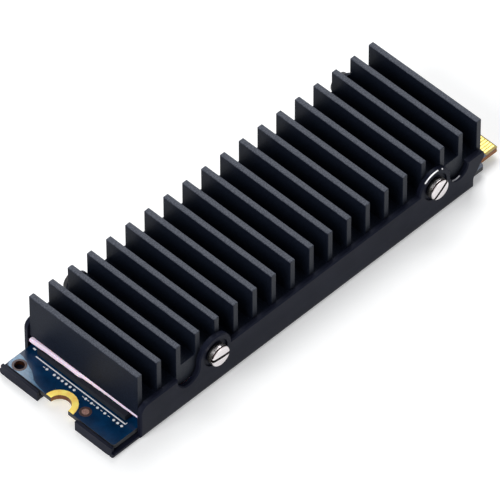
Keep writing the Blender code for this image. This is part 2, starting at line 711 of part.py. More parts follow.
def make_screws(parent, material):
    """Four screws, two on each side, each turned to where its slot stopped."""
    mesh = slotted_screw_mesh(material)
    places = [(side, end) for side in ("near", "far") for end in ("front", "rear")]
    for (side, end), turn in zip(places, SLOT_TURNS):
        outward = -1 if side == "near" else 1
        screw_x = SCREW_XS[side][0 if end == "front" else 1]
        place = (screw_x, outward * HEAD_SEAT, SCREW_Z)
        screw = add_object(f"screw_{side}_{end}", mesh, material, parent, place)
        screw.rotation_mode = "ZYX"
        screw.rotation_euler = (-outward * math.pi / 2, 0.0, math.radians(turn))
        shade_round(screw)


def build():
    """Builds the whole module on one empty."""
    clear_scene()
    module = bpy.data.objects.new("ssd_module", None)
    bpy.context.scene.collection.objects.link(module)
    module.location = (-MODULE_MIDDLE, 0.0, 0.0)
    materials = {name: make_material(name) for name in LOOKS}
    make_tray(module, materials["tray_black"])
    make_board(module, materials["board_blue"])
    make_chips(module, materials["chip_black"])
    make_power_column(module, materials)
    make_capacitors(module, materials["capacitor_tan"])
    make_pad(module, materials["pad_pink"])
    make_heatsink(module, materials["heatsink_black"])
    make_screws(module, materials["screw_nickel"])


build()
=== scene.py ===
"""Looks, light and camera for the solid-state drive module.

Lengths are in metres. X runs along the module towards its contacts, Y runs across it, and Z points up
from the tray's underside. The origin is the middle of that underside.
"""

import json
import math

import bmesh
import bpy
from mathutils import Matrix, Vector

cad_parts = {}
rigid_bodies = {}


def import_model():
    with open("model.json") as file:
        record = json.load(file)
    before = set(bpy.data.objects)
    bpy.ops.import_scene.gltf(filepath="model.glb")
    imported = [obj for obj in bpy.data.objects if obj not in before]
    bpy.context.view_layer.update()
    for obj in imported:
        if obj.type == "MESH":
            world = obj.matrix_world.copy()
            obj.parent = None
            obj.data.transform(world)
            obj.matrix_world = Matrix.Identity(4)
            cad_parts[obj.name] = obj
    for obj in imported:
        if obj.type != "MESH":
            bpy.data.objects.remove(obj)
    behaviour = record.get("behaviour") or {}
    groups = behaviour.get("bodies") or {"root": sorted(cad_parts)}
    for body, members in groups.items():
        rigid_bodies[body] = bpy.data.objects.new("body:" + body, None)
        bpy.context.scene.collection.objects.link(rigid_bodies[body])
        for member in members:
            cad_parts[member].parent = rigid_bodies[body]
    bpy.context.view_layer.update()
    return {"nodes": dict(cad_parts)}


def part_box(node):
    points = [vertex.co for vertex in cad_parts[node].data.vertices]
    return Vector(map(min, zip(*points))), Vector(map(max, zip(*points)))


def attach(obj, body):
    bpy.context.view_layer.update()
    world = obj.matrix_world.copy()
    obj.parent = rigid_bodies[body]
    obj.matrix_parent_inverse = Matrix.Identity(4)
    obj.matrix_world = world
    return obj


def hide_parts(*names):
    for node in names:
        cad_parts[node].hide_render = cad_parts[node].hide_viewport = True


# Camera, fitted to the fins and the board's corners
CAMERA_TARGET = Vector((0.00035, 0.0, 0.0065))
CAMERA_AZIMUTH = -44.938
CAMERA_ELEVATION = 48.047
CAMERA_ROLL = -0.261
CAMERA_DISTANCE = 1.24232
CAMERA_SIDE_STEP = -0.001038
CAMERA_RISE = -0.002237
CAMERA_LENS = 620.03
SENSOR_WIDTH = 36.0
CLIP_START = 0.01
CLIP_END = 20.0

# Floor and light
FLOOR_SIZE = 6.0
FLOOR_DROP = 0.00005
FLOOR_COLOR = (0.88, 0.88, 0.88)
FLOOR_MOTTLE = 0.99
FLOOR_GLOW = 0.29
WORLD_COLOR = (0.92, 0.96, 1.00)
WORLD_STRENGTH = 0.22
# Each lamp: direction from +X towards +Y and elevation in degrees, distance, size, power, colour
LAMPS = {
    "top_softbox": (45.0, 50.0, 0.55, 0.36, 2.1, (1.00, 1.00, 1.00)),
    "left_softbox": (186.0, 36.0, 0.60, 0.36, 2.3, (1.00, 1.00, 1.00)),
    "front_softbox": (-75.0, 30.0, 0.70, 0.40, 0.5, (1.00, 1.00, 1.00)),
}

# Colour of the sheen on every black surface
COOL_TINT = (0.80, 0.87, 1.00)

# Faces whose normal's upward part is smaller than this count as upright
UPRIGHT = 0.5
# Faces whose normal has at least this part along an axis count as square to it
SQUARE_ON = 0.9

# Degrees between the points of a small rounded corner, and steps in round shapes
ROUNDING_STEP = 15
DOT_STEPS = 16
ARC_STEPS = 24
TARGET_STEPS = 48
RING_STEPS = 48
HOLE_STEPS = 64

# Circuit board: places along it start at its front edge, and places across it at its middle
COPPER_HEIGHT = 0.00005
COPPER_SLACK = 0.000005
PRINT_HEIGHT = 0.000015
PRINT_LINE_X = 0.0040
PRINT_LINE_HALF = 0.0001
PRINT_LINE_ENDS = (-0.0094, 0.0089)
# The small hook at the line's end, its length and width, and the block past its other end
PRINT_HOOK = (0.0004, 0.00012)
PRINT_BLOCK = ((0.0007, 0.0010), (0.0098, 0.0103))
PRINT_DOT_X = 0.0034
PRINT_DOT_RADIUS = 0.00022
# The even row of dots starts here and has so many, and the other marks stand by themselves
PRINT_DOT_PITCH = 0.00081
PRINT_DOT_ROW = (0.0045, 6)
PRINT_LONE_DOTS = (0.00603, -0.0019, -0.0031, -0.0043, -0.0058, -0.0076, -0.0084, -0.0092)
PRINT_DASHES = (0.0066, -0.0014, -0.0024, -0.0036, -0.0051, -0.0066)
PRINT_DASH_HALF = (0.00005, 0.00018)
# Upright faces this near the middle of the notch or the tooling hole are its wall
NOTCH_WALL_REACH = 0.0028
HOLE_WALL_REACH = 0.00096
# The contact end, called the tongue, and its key slot
BOARD_LENGTH = 0.0800
TONGUE_START = 0.0760
TONGUE_HALF = 0.009925
KEY_SLOT_Y = 0.006125
KEY_SLOT_HALF = 0.0006
CONTACT_START = 0.07775
BARE_MARGIN = 0.00012
# The tooling hole with its rim, and the round target in its clearing
TOOLING_HOLE = (0.0012, 0.0094)
TOOLING_HOLE_RADIUS = 0.0008
HOLE_RIM_RADIUS = 0.00115
TARGET = (0.00167, -0.00362)
TARGET_RADIUS = 0.00055
TARGET_CLEARING = 0.00095
RIM_GAP = 0.00002
TARGET_GAP = 0.000011
# The pale corner round the tooling hole, in millimetres from the board's front edge and its middle:
# the points of its back edge, and those that its curved front edge runs through
PALE_CORNER_BACK = ((0.06, 10.45), (0.55, 10.94), (2.75, 10.94), (2.70, 10.20))
PALE_CORNER_CURVE = (
    (2.46, 9.34), (2.20, 8.70), (1.90, 8.00), (1.71, 7.46), (1.35, 6.80),
    (0.95, 6.30), (0.64, 5.91), (0.35, 4.90), (0.12, 3.60), (0.06, 2.90),
)
MILLIMETRE = 0.001
# The board's materials, in slot order; the core's grey and the hole walls' dark brown hold painted
# shade
MASK, SHADED_CORE, CONTACT, HOLE_WALL, TONGUE_EDGE, RING = range(6)

# Solder under the chips and the small parts, and metal on the small parts' ends
BALL_CHIPS = ("flash_chip_1", "flash_chip_2", "memory_chip", "controller_chip")
SOLDERED_PARTS = ("crystal", "inductor_1", "inductor_2", "inductor_3") + tuple(
    f"capacitor_{number}" for number in range(1, 7)
)
BALL_PITCH = 0.0010
BALL_MARGIN = 0.0009
BALL_SQUASH = 0.75
FILLET_REACH = 0.00025
FILLET_DEPTH = 0.0004
FILLET_RISE = 0.00015
FILLET_TIP = 0.00002
TERMINAL_LENGTH = 0.0004
TERMINAL_SLOT = 1

# Thermal pad: its front edge runs askew, with one small step in it
PAD_SWELL = 0.00014
PAD_EDGE = 0.00022
PAD_FRONT_NEAR = 0.00508
PAD_FRONT_FAR = 0.00458
PAD_WANDER = 0.00006
PAD_STEP = 0.00016
PAD_STEP_PLACE = 0.53
PAD_STEP_SPREAD = 0.012
PAD_FRONT_SEED = 0.31
PAD_SIDE_SEED = 0.77
PAD_STEPS_ACROSS = 110
PAD_STEPS_ALONG = 60
PAD_SHARP_ANGLE = 80.0
# The waves of its uneven edges: how many fit in its length, and each one's share of the height
PAD_WAVES = ((2.3, 0.45), (5.1, 0.30), (11.7, 0.17), (23.0, 0.08))
PAD_WAVE_SHIFT = 1.7
# Angles of the quarter circle along which the mesh crowds towards its edges
PAD_CROWDING = (0, 22, 42, 60, 76, 90)

# Heat sink and tray
LIT_TIP_DEPTH = 0.0001
HEATSINK_EDGE = 0.00003
TRAY_EDGE = 0.00004
EDGE_SEGMENTS = 2
EDGE_ANGLE = 35.0
JOIN_DISTANCE = 0.000001
# The heat sink's materials, in slot order; the fins' tip faces are a lighter copy of the black, a
# painted highlight
SIDE, SAWN_END, LIT_FIN_TIP = range(3)

# Painted highlights along the near wall's broken edges, laid as thin bright metal strips: the middle of
# the arc, along the board and in height, its radius, and its start and end in degrees from +X upwards
WALL_FACE = 0.0120
GLINT_WIDTH = 0.00014
GLINT_PROUD = 0.00002
GLINT_ARCS = (
    ((0.0646, 0.0068), 0.00304, 80.0, 134.0),
    ((0.0646, 0.0068), 0.00296, 60.0, 65.0),
)
DIM_GLINT_ARCS = (
    ((0.0690, 0.0067), 0.00176, 240.0, 296.0),
)

# Folded sides of the tray's nose
NOSE_FOLD_OUT = 0.01165
NOSE_FOLD_IN = 0.0108
NOSE_FOLD_ROUNDING = 0.00045
NOSE_FOLD_TOP = 0.00079
NOSE_FOLD_START = -0.00068
NOSE_FOLD_END = 0.0055
NOSE_FOLD_SHARP_ANGLE = 40.0

# Screws: heights are from the head's seat, and arcs are in degrees round the axis, with 90 on top
HEAD_RADIUS = 0.00174
HEAD_SEAT_DEPTH = 0.0009
HEAD_ROUNDING = 0.00030
HEAD_CROWN = 0.00004
HEAD_FOOT = 0.00006
# The near screws' heads are painted dark up to this height, as a painted shadow
COLLAR_HEIGHT = 0.00034
# Painted shade on top of the band this deep under the rim, across the first arc
RIM_SHADE_DEPTH = 0.00009
TOP_SHADE_ARC = (50.0, 158.0)
# A painted highlight on top of the head's sides across this arc, and painted shade on the rest of them
HIGHLIGHT_ARC = (62.0, 142.0)
SHANK_RADIUS = 0.0010
SHANK_CHAMFER = 0.0003
SLOT_WIDTH = 0.00050
SLOT_DEPTH = 0.00060
SLOT_WEAR = 0.00002
SLOT_WEAR_ANGLE = 40.0
SCREW_STEPS = 96
CROWN_STEPS = 6
SCREW_SHARP_ANGLE = 25.0
# How far up the head's rounded rim the bright crown starts, as a share of the rounding
CROWN_SHARE = 0.6
# The screws' materials, in slot order: bright nickel, stain with painted shade, painted shadow, painted
# shade on the sides
BRIGHT, STAIN_AND_SHADE, PAINTED_SHADOW, SIDE_SHADE = range(4)
# Each screw: how far its slot is turned in degrees, and the height of its head
SCREWS = {
    "screw_near_front": (-7.0, 0.00132),
    "screw_near_rear": (37.0, 0.00122),
    "screw_far_front": (80.0, 0.00090),
    "screw_far_rear": (-38.0, 0.00090),
}

# An empty scene, and the module in it

for item in list(bpy.data.objects):
    bpy.data.objects.remove(item)

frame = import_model()
nodes = frame["nodes"]

board_low, board_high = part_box("circuit_board")
BOARD_FRONT = board_low.x
BOARD_TOP = board_high.z - COPPER_HEIGHT
BOARD_BOTTOM = board_low.z + COPPER_HEIGHT


# Materials


class Look:
    """A material in the making: its node tree, its shader and shorthand for common nodes."""

    def __init__(self, name, color, roughness, metallic=0.0, specular=0.5):
        self.material = bpy.data.materials.new(name)
        self.material.use_nodes = True
        self.tree = self.material.node_tree
        self.shader = self.tree.nodes["Principled BSDF"]
        self.set("Base Color", (*color, 1.0))
        self.set("Roughness", roughness)
        self.set("Metallic", metallic)
        self.set("Specular IOR Level", specular)
        self.material.diffuse_color = (*color, 1.0)
        self.coordinates = self.add("ShaderNodeTexCoord").outputs["Object"]

    def add(self, kind):
        return self.tree.nodes.new(kind)

    def link(self, start, end):
        self.tree.links.new(start, end)

    def set(self, socket, value):
        self.shader.inputs[socket].default_value = value

    def noise(self, scale, stretch=(1.0, 1.0, 1.0), detail=3.0, roughness=0.55):
        """A noise pattern in the part's own coordinates, with its own stretch along each axis."""
        mapping = self.add("ShaderNodeMapping")
        mapping.inputs["Scale"].default_value = stretch
        self.link(self.coordinates, mapping.inputs["Vector"])
        noise = self.add("ShaderNodeTexNoise")
        noise.inputs["Scale"].default_value = scale
        noise.inputs["Detail"].default_value = detail
        noise.inputs["Roughness"].default_value = roughness
        self.link(mapping.outputs["Vector"], noise.inputs["Vector"])
        return noise.outputs["Fac"]

    def blend(self, factor, dark, light, low=0.3, high=0.7):
        """A colour that runs from dark to light as the factor runs from low to high."""
        ramp = self.add("ShaderNodeValToRGB")
        ramp.color_ramp.elements[0].position = low
        ramp.color_ramp.elements[0].color = (*dark, 1.0)
        ramp.color_ramp.elements[1].position = high
        ramp.color_ramp.elements[1].color = (*light, 1.0)
        self.link(factor, ramp.inputs["Fac"])
        return ramp.outputs["Color"]

    def rescale(self, factor, low, high):
        """The factor moved from 0..1 to low..high."""
        change = self.add("ShaderNodeMapRange")
        change.inputs["To Min"].default_value = low
        change.inputs["To Max"].default_value = high
        self.link(factor, change.inputs["Value"])
        return change.outputs["Result"]

    def color_by(self, factor, dark, light, low=0.3, high=0.7):
        self.link(self.blend(factor, dark, light, low, high), self.shader.inputs["Base Color"])

    def roughness_by(self, factor, low, high):
        self.link(self.rescale(factor, low, high), self.shader.inputs["Roughness"])

    def bump(self, height, strength, distance, below=None):
        """Adds relief to the shader's normal, on top of any relief below it."""
        bump = self.add("ShaderNodeBump")
        bump.inputs["Strength"].default_value = strength
        bump.inputs["Distance"].default_value = distance
        self.link(height, bump.inputs["Height"])
        if below:
            self.link(below, bump.inputs["Normal"])
        self.link(bump.outputs["Normal"], self.shader.inputs["Normal"])
        return bump.outputs["Normal"]


def anodised_black(name, dark, light, roughness, specular, spread=(0.35, 0.72)):
    """Matte black anodised aluminium with a fine grain and faint lines along the extrusion."""
    look = Look(name, light, roughness, specular=specular)
    look.set("Specular Tint", (*COOL_TINT, 1.0))
    grain = look.noise(5200.0, detail=2.0)
    lines = look.noise(2600.0, stretch=(1.0, 0.03, 1.0), detail=3.0)
    look.color_by(grain, dark, light, *spread)
    look.roughness_by(grain, roughness - 0.06, roughness + 0.08)
    lower = look.bump(lines, 0.16, 0.00003)
    look.bump(grain, 0.30, 0.00003, lower)
    return look.material


def sawn_black():
    """The extrusion's cut ends: the same black over faint upright saw marks."""
    look = Look("sawn_black", (0.012, 0.014, 0.020), 0.5, specular=0.24)
    look.set("Specular Tint", (*COOL_TINT, 1.0))
    grain = look.noise(5200.0, detail=2.0)
    marks = look.noise(3800.0, stretch=(1.0, 1.0, 0.05), detail=2.0)
    look.color_by(grain, (0.007, 0.009, 0.014), (0.018, 0.020, 0.028), 0.35, 0.72)
    look.roughness_by(marks, 0.42, 0.58)
    lower = look.bump(marks, 0.20, 0.00003)
    look.bump(grain, 0.20, 0.00002, lower)
    return look.material


def coated_black():
    """The tray's satin black coating, with a very fine texture and a soft unevenness."""
    look = Look("coated_black", (0.012, 0.013, 0.019), 0.42, specular=0.07)
    look.set("Specular Tint", (*COOL_TINT, 1.0))
    texture = look.noise(7000.0, detail=2.0)
    cloud = look.noise(220.0, detail=3.0)
    look.color_by(cloud, (0.005, 0.0062, 0.0140), (0.010, 0.0115, 0.0220), 0.3, 0.7)
    look.roughness_by(texture, 0.36, 0.48)
    look.bump(texture, 0.18, 0.00002)
    return look.material


def solder_mask():
    """Glossy deep blue solder mask over copper, with faint tracks and the dimples of filled vias."""
    look = Look("solder_mask", (0.0005, 0.024, 0.078), 0.24, specular=0.20)
    tracks = look.noise(700.0, stretch=(1.0, 0.12, 1.0), detail=1.0)
    cloud = look.noise(420.0, detail=3.0)
    vias = look.add("ShaderNodeTexVoronoi")
    vias.inputs["Scale"].default_value = 900.0
    look.link(look.coordinates, vias.inputs["Vector"])
    look.color_by(cloud, (0.0003, 0.017, 0.055), (0.0006, 0.034, 0.105), 0.35, 0.68)
    look.roughness_by(tracks, 0.18, 0.30)
    dimples = look.blend(vias.outputs["Distance"], (0.0, 0.0, 0.0), (1.0, 1.0, 1.0), 0.10, 0.16)
    lower = look.bump(tracks, 0.22, 0.00003)
    look.bump(dimples, 0.25, 0.00001, lower)
    return look.material


def shaded_board_core():
    """The board's cut edges: woven glass and resin in thin layers, painted dark grey as painted shade.
    """
    look = Look("shaded_board_core", (0.045, 0.046, 0.050), 0.6, specular=0.2)
    layers = look.noise(9000.0, stretch=(0.05, 0.05, 1.0), detail=1.0)
    look.color_by(layers, (0.028, 0.030, 0.034), (0.065, 0.066, 0.072), 0.35, 0.65)
    look.bump(layers, 0.2, 0.00002)
    return look.material


def gold_plate(name, dark, light, roughness, metallic=1.0):
    """Gold plating with fine rubbing marks. A metallic share below one scatters some of the light."""
    look = Look(name, light, roughness, metallic=metallic)
    rubbing = look.noise(3000.0, stretch=(0.25, 1.0, 1.0), detail=2.0)
    cloud = look.noise(900.0, detail=2.0)
    look.color_by(cloud, dark, light)
    look.roughness_by(rubbing, roughness - 0.07, roughness + 0.09)
    look.bump(rubbing, 0.08, 0.00001)
    return look.material


def bare_laminate():
    """The board's own yellowish laminate, left bare between the contacts."""
    look = Look("bare_laminate", (0.50, 0.37, 0.09), 0.4, specular=0.2)
    weave = look.noise(3200.0, stretch=(1.0, 0.4, 1.0), detail=2.0)
    look.color_by(weave, (0.40, 0.28, 0.06), (0.58, 0.44, 0.12))
    look.roughness_by(weave, 0.34, 0.50)
    look.bump(weave, 0.15, 0.00001)
    return look.material


def cut_laminate():
    """The milled edge of the contact end, warm brown with its layers showing."""
    look = Look("cut_laminate", (0.36, 0.15, 0.06), 0.55, specular=0.2)
    layers = look.noise(9000.0, stretch=(0.05, 0.05, 1.0), detail=1.0)
    look.color_by(layers, (0.24, 0.09, 0.035), (0.48, 0.21, 0.085), 0.35, 0.65)
    look.bump(layers, 0.2, 0.00002)
    return look.material


def white_ink():
    """White printing ink, thin enough to be a little uneven."""
    look = Look("white_ink", (0.88, 0.89, 0.90), 0.55)
    cover = look.noise(6000.0, detail=2.0)
    look.color_by(cover, (0.88, 0.90, 0.94), (0.95, 0.97, 1.00))
    look.bump(cover, 0.15, 0.00001)
    return look.material


def bare_mask():
    """Solder mask with no copper under it, where the light shows through as a paler blue."""
    look = Look("bare_mask", (0.02, 0.13, 0.26), 0.25)
    weave = look.noise(2500.0, stretch=(1.0, 0.35, 1.0), detail=2.0)
    look.color_by(weave, (0.010, 0.085, 0.180), (0.030, 0.160, 0.300))
    look.bump(weave, 0.15, 0.00001)
    return look.material


def dark_resin():
    """Bare resin at the rim of a hole or a clearing in the copper: dark, brownish and glossy."""
    look = Look("dark_resin", (0.055, 0.030, 0.028), 0.40, specular=0.2)
    mottle = look.noise(4000.0, detail=3.0)
    look.color_by(mottle, (0.030, 0.018, 0.022), (0.100, 0.055, 0.045))
    look.roughness_by(mottle, 0.28, 0.45)
    look.bump(mottle, 0.2, 0.00001)
    return look.material


def pale_copper():
    """Bare copper under a clear finish, slightly pink and matt."""
    look = Look("pale_copper", (0.40, 0.24, 0.20), 0.45, metallic=1.0)
    mottle = look.noise(5000.0, detail=3.0)
    look.color_by(mottle, (0.30, 0.17, 0.14), (0.50, 0.32, 0.27))
    look.roughness_by(mottle, 0.38, 0.55)
    look.bump(mottle, 0.15, 0.00001)
    return look.material


def moulded_black():
    """The chips' moulded epoxy, with its fine sandy finish."""
    look = Look("moulded_black", (0.014, 0.016, 0.022), 0.50, specular=0.14)
    look.set("Specular Tint", (*COOL_TINT, 1.0))
    sand = look.noise(9000.0, detail=3.0)
    look.color_by(sand, (0.009, 0.011, 0.016), (0.020, 0.022, 0.029))
    look.roughness_by(sand, 0.44, 0.60)
    look.bump(sand, 0.35, 0.00002)
    return look.material


def soft_pink():
    """The thermal pad's soft filled silicone: matte, pale pink and faintly speckled."""
    look = Look("soft_pink", (0.97, 0.84, 0.96), 0.75, specular=0.35)
    filler = look.noise(4200.0, detail=4.0, roughness=0.7)
    cloud = look.noise(500.0, detail=2.0)
    look.color_by(filler, (0.94, 0.71, 0.91), (1.00, 0.88, 1.00), 0.30, 0.75)
    look.roughness_by(cloud, 0.62, 0.85)
    look.set("Subsurface Weight", 0.15)
    look.set("Subsurface Scale", 0.0004)
    look.bump(filler, 0.5, 0.00005)
    return look.material


def bright_nickel(center):
    """The screws' bright nickel, turned in fine rings round the screw's own axis."""
    look = Look("bright_nickel", (0.82, 0.79, 0.78), 0.22, metallic=1.0)
    mapping = look.add("ShaderNodeMapping")
    mapping.inputs["Location"].default_value = (-center.x, 0.0, -center.z)
    mapping.inputs["Scale"].default_value = (1.0, 0.0, 1.0)
    look.link(look.coordinates, mapping.inputs["Vector"])
    length = look.add("ShaderNodeVectorMath")
    length.operation = "LENGTH"
    look.link(mapping.outputs["Vector"], length.inputs[0])
    rings = look.add("ShaderNodeTexNoise")
    rings.noise_dimensions = "1D"
    rings.inputs["Scale"].default_value = 14000.0
    rings.inputs["Detail"].default_value = 2.0
    look.link(length.outputs["Value"], rings.inputs["W"])
    look.color_by(rings.outputs["Fac"], (0.62, 0.575, 0.580), (0.84, 0.795, 0.800))
    look.roughness_by(rings.outputs["Fac"], 0.18, 0.30)
    look.bump(rings.outputs["Fac"], 0.06, 0.00001)
    return look.material


def stained_shaded_nickel(name, dark, light, roughness):
    """The screws' slots, shoulders, sides and collars: rougher metal, darkened as painted shade, with
    oil and oxide in slots.
    """
    look = Look(name, light, roughness, metallic=0.9)
    blotches = look.noise(3600.0, detail=3.0)
    look.color_by(blotches, dark, light)
    look.roughness_by(blotches, roughness - 0.08, roughness + 0.10)
    look.bump(blotches, 0.2, 0.00002)
    return look.material


def glint_metal(name, dark, light):
    """Metal laid along the tray's coated edges as painted highlights, smooth with faint variation."""
    look = Look(name, light, 0.35, metallic=1.0)
    rubbing = look.noise(5000.0, detail=2.0)
    look.color_by(rubbing, dark, light)
    look.roughness_by(rubbing, 0.28, 0.45)
    look.bump(rubbing, 0.1, 0.00001)
    return look.material


def tinned_metal():
    """Solder and tinned terminals: soft grey metal, a little lumpy."""
    look = Look("tinned_metal", (0.62, 0.62, 0.63), 0.32, metallic=1.0)
    lumps = look.noise(2600.0, detail=2.0)
    look.color_by(lumps, (0.50, 0.50, 0.52), (0.72, 0.72, 0.73))
    look.roughness_by(lumps, 0.24, 0.46)
    look.bump(lumps, 0.3, 0.00003)
    return look.material


def ceramic(name, dark, light):
    """The body of a small fired part, with a fine mottle."""
    look = Look(name, light, 0.5)
    mottle = look.noise(5200.0, detail=3.0)
    look.color_by(mottle, dark, light)
    look.roughness_by(mottle, 0.42, 0.62)
    look.bump(mottle, 0.25, 0.00002)
    return look.material


def can_metal():
    """The crystal's drawn metal lid with a brushed finish."""
    look = Look("can_metal", (0.66, 0.66, 0.64), 0.30, metallic=1.0)
    brushing = look.noise(7000.0, stretch=(0.05, 1.0, 1.0), detail=2.0)
    look.color_by(brushing, (0.58, 0.58, 0.56), (0.74, 0.74, 0.72))
    look.roughness_by(brushing, 0.24, 0.40)
    look.bump(brushing, 0.12, 0.00001)
    return look.material


# Shapes


def paint(item, *materials):
    """Gives a piece its materials, in slot order."""
    item.data.materials.clear()
    for material in materials:
        item.data.materials.append(material)


def add_piece(name, mesh, *materials):
    """A piece of the scene that rides on the module."""
    item = bpy.data.objects.new(name, mesh)
    bpy.context.scene.collection.objects.link(item)
    paint(item, *materials)
    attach(item, "root")
    return item


def finished_mesh(name, shape):
    """The mesh made from a closed shape, with its faces pointing out."""
    bmesh.ops.recalc_face_normals(shape, faces=shape.faces)
    mesh = bpy.data.meshes.new(name)
    shape.to_mesh(mesh)
    shape.free()
    return mesh


def shade_round(mesh, angle):
    """Smooth shading, kept sharp at edges that turn by more than the angle."""
    mesh.polygons.foreach_set("use_smooth", [True] * len(mesh.polygons))
    mesh.set_sharp_from_angle(angle=math.radians(angle))


def add_prism(shape, outline, low, high):
    """Adds an upright closed prism to a shape."""
    bottom = [shape.verts.new((x, y, low)) for x, y in outline]
    top = [shape.verts.new((x, y, high)) for x, y in outline]
    shape.faces.new(bottom)
    shape.faces.new(top)
    for index in range(len(outline)):
        after = (index + 1) % len(outline)
        shape.faces.new((bottom[index], bottom[after], top[after], top[index]))


def points_around(center, radius, turns):
    """The points of a circle at some angles in radians."""
    return [(center[0] + radius * math.cos(t), center[1] + radius * math.sin(t)) for t in turns]


def add_ring(shape, center, profile, start=0.0, end=360.0, steps=RING_STEPS):
    """Adds a ring, or a part of one, whose section is a profile of (radius, height), to a shape."""
    whole = end - start >= 360.0
    count = steps if whole else steps + 1
    turns = [math.radians(start + (end - start) * step / steps) for step in range(count)]
    rows = []
    for radius, height in profile:
        rows.append([shape.verts.new((x, y, height)) for x, y in points_around(center, radius, turns)])
    for row, after in zip(rows, rows[1:] + rows[:1]):
        for index in range(steps):
            step = (index + 1) % count
            shape.faces.new((row[index], row[step], after[step], after[index]))
    if not whole:
        shape.faces.new([row[0] for row in rows])
        shape.faces.new([row[-1] for row in rows])


def rectangle(low_a, high_a, low_b, high_b):
    """The four corners of a rectangle."""
    return [(low_a, low_b), (high_a, low_b), (high_a, high_b), (low_a, high_b)]


def circle(center, radius, steps):
    """The corners of a circle drawn with straight steps."""
    return points_around(center, radius, [2 * math.pi * step / steps for step in range(steps)])


# Thermal pad


def wander(along, seed):
    """A smooth uneven line between about -1 and 1."""
    total = 0.0
    for turn, (waves, share) in enumerate(PAD_WAVES):
        total += share * math.sin(2 * math.pi * (waves * along + seed * (PAD_WAVE_SHIFT + turn)))
    return total


def edge_steps(length, edge, steps):
    """Places along a length that crowd towards both of its ends."""
    crowded = [edge * (1 - math.cos(math.radians(angle))) for angle in PAD_CROWDING]
    spaced = [edge + (length - 2 * edge) * step / steps for step in range(1, steps)]
    return crowded + spaced + [length - place for place in reversed(crowded)]


def pad_front(share):
    """Where the pad's front edge lies, at a share of the way from its near side to its far side."""
    front = PAD_FRONT_NEAR + (PAD_FRONT_FAR - PAD_FRONT_NEAR) * share
    front += BOARD_FRONT + PAD_WANDER * wander(share, PAD_FRONT_SEED)
    return front - PAD_STEP * math.tanh((share - PAD_STEP_PLACE) / PAD_STEP_SPREAD) / 2


def pad_points(low, high, side):
    """Rows of points over the pad's upper face (side 1) or lower face (side -1), which share a rim."""
    half = high.y
    bottom = low.z - PAD_SWELL
    top = high.z + PAD_SWELL
    middle = (bottom + top) / 2
    thick = (top - bottom) / 2
    rows = []
    for place_y in edge_steps(2 * half, PAD_EDGE, PAD_STEPS_ACROSS):
        share = place_y / (2 * half)
        front = pad_front(share)
        length = high.x - front
        row = []
        for step in edge_steps(1.0, PAD_EDGE / (high.x - low.x), PAD_STEPS_ALONG):
            x = front + length * step
            y = -half + place_y + PAD_WANDER * wander(step, PAD_SIDE_SEED) * (2 * share - 1) / 2
            inside = min(step * length, (1 - step) * length, place_y, 2 * half - place_y)
            rise = math.sqrt(max(0.0, 1 - (1 - min(inside / PAD_EDGE, 1.0)) ** 2))
            row.append((x, y, middle + side * thick * rise))
        rows.append(row)
    return rows


def make_pad():
    """The soft pad: pressed flat between chips and heat sink, bulging and uneven along its edges."""
    low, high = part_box("thermal_pad")
    shape = bmesh.new()
    lower = [[shape.verts.new(point) for point in row] for row in pad_points(low, high, -1)]
    last_row = len(lower) - 1
    last_column = len(lower[0]) - 1
    upper = []
    for row, points in enumerate(pad_points(low, high, 1)):
        line = []
        for column, point in enumerate(points):
            rim = row in (0, last_row) or column in (0, last_column)
            line.append(lower[row][column] if rim else shape.verts.new(point))
        upper.append(line)
    for grid in (lower, upper):
        for row in range(last_row):
            for column in range(last_column):
                corners = (grid[row][column], grid[row + 1][column])
                shape.faces.new((*corners, grid[row + 1][column + 1], grid[row][column + 1]))
    mesh = finished_mesh("soft_pad", shape)
    shade_round(mesh, PAD_SHARP_ANGLE)
    pad = add_piece("soft_pad", mesh, soft_pink())
    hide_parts("thermal_pad")


# Screws


def turned_mesh(name, profile, steps):
    """A closed form turned about Z from a (radius, height) profile that starts and ends on the axis."""
    shape = bmesh.new()
    rings = []
    for radius, height in profile[1:-1]:
        rings.append([shape.verts.new((x, y, height)) for x, y in circle((0.0, 0.0), radius, steps)])
    first = shape.verts.new((0.0, 0.0, profile[0][1]))
    last = shape.verts.new((0.0, 0.0, profile[-1][1]))
    for index in range(steps):
        after = (index + 1) % steps
        shape.faces.new((first, rings[0][index], rings[0][after]))
        shape.faces.new((last, rings[-1][after], rings[-1][index]))
        for ring, further in zip(rings, rings[1:]):
            shape.faces.new((ring[index], further[index], further[after], ring[after]))
    return finished_mesh(name, shape)


def screw_profile(head_height, shank_length):
    """Half the screw's section, from the middle of its head's crown down to the end of its shank."""
    points = [(0.0, head_height)]
    flat_radius = HEAD_RADIUS - HEAD_ROUNDING
    for step in range(1, CROWN_STEPS + 1):
        radius = flat_radius * step / CROWN_STEPS
        points.append((radius, head_height - HEAD_CROWN * (radius / flat_radius) ** 2))
    rim = head_height - HEAD_CROWN - HEAD_ROUNDING
    for angle in range(90 - ROUNDING_STEP, -1, -ROUNDING_STEP):
        turn = math.radians(angle)
        radius = flat_radius + HEAD_ROUNDING * math.cos(turn)
        points.append((radius, rim + HEAD_ROUNDING * math.sin(turn)))
    points.append((HEAD_RADIUS, rim - RIM_SHADE_DEPTH))
    if rim - RIM_SHADE_DEPTH > COLLAR_HEIGHT:
        points.append((HEAD_RADIUS, COLLAR_HEIGHT))
    points.append((HEAD_RADIUS, HEAD_FOOT))
    points.append((HEAD_RADIUS - HEAD_FOOT, 0.0))
    points.append((SHANK_RADIUS, 0.0))
    points.append((SHANK_RADIUS, -(shank_length - SHANK_CHAMFER)))
    points.append((SHANK_RADIUS - SHANK_CHAMFER, -shank_length))
    points.append((0.0, -shank_length))
    return points


